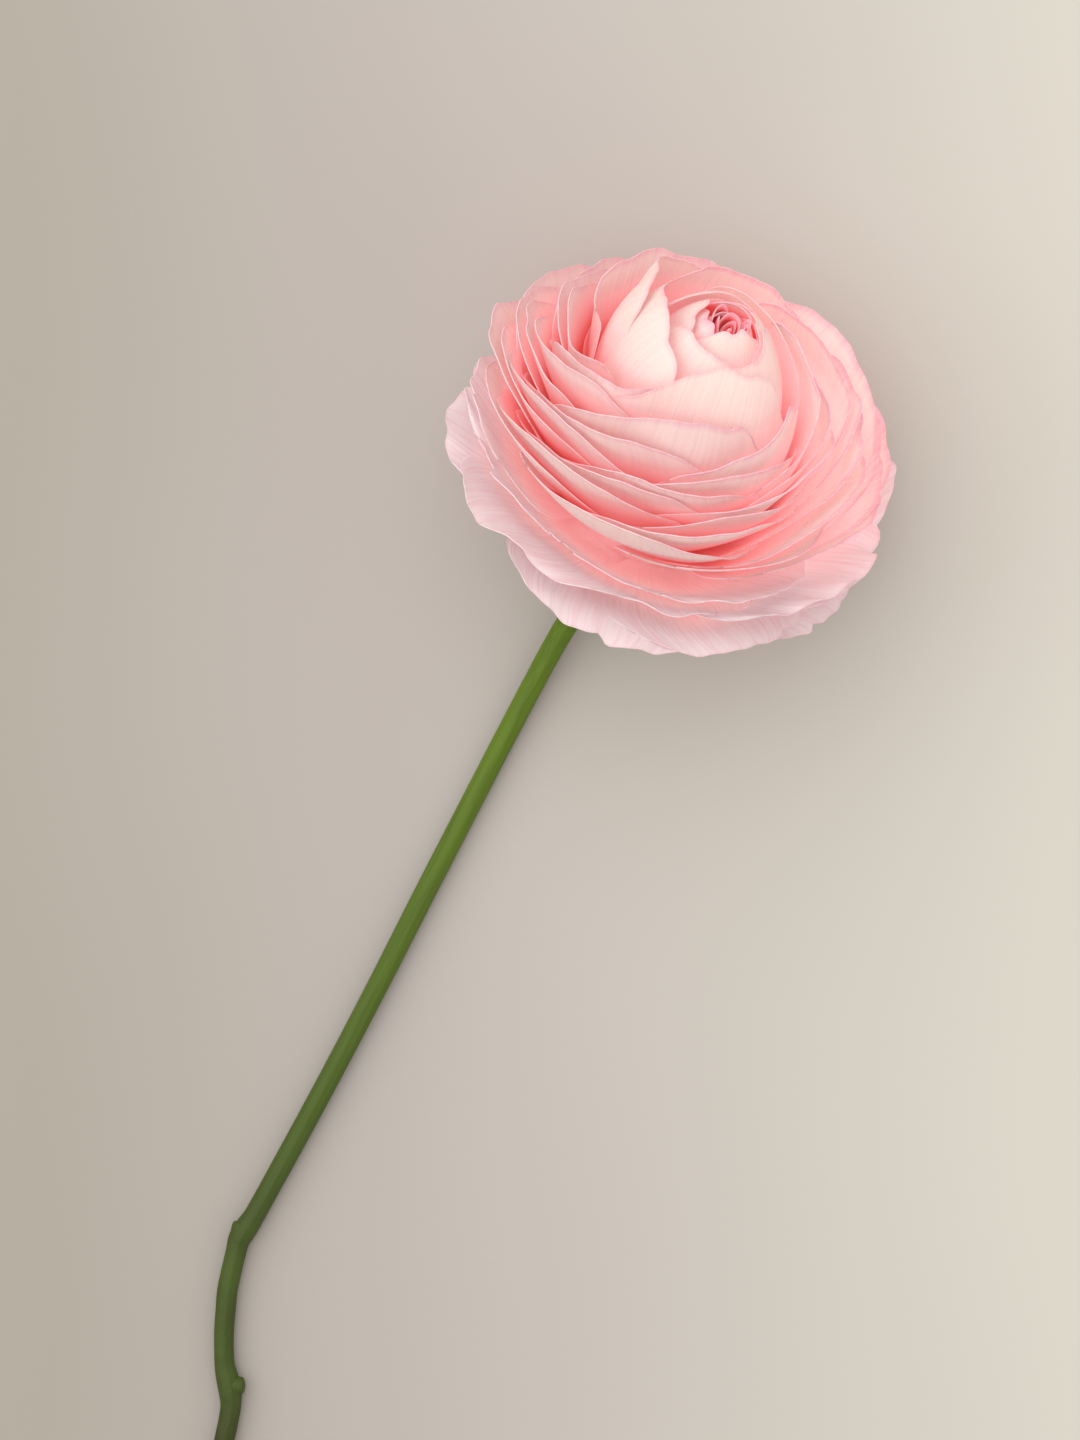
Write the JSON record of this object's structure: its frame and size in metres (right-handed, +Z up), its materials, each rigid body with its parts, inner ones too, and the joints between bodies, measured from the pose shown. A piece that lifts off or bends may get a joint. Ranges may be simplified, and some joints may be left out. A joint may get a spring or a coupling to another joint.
{
  "type": "ranunculus flower",
  "caption": "Cut ranunculus with a full round double bloom of thin overlapping petals, lying on its pressed lower petals and its bent green stalk.",
  "frame": {"origin": "the flat patch under the bloom where its lowest petals are pressed against the surface it lies on", "axes": "+Y runs along the stalk towards the bloom, +X to the right seen from above, +Z up off the surface"},
  "size_m": [0.08, 0.2601, 0.0666],
  "materials": {
    "stalk_green": "smooth waxy living stem, green turning brown at the cut",
    "sepal_green": "soft downy green",
    "petal_coral": "thin translucent petal, satin",
    "petal_pale": "thin translucent petal, satin with fine veins"
  },
  "bodies": {
    "root": {"stem": "stalk_green", "sepals": "sepal_green", "inner_petals": "petal_coral", "outer_petals": "petal_pale"}
  },
  "joints": []
}
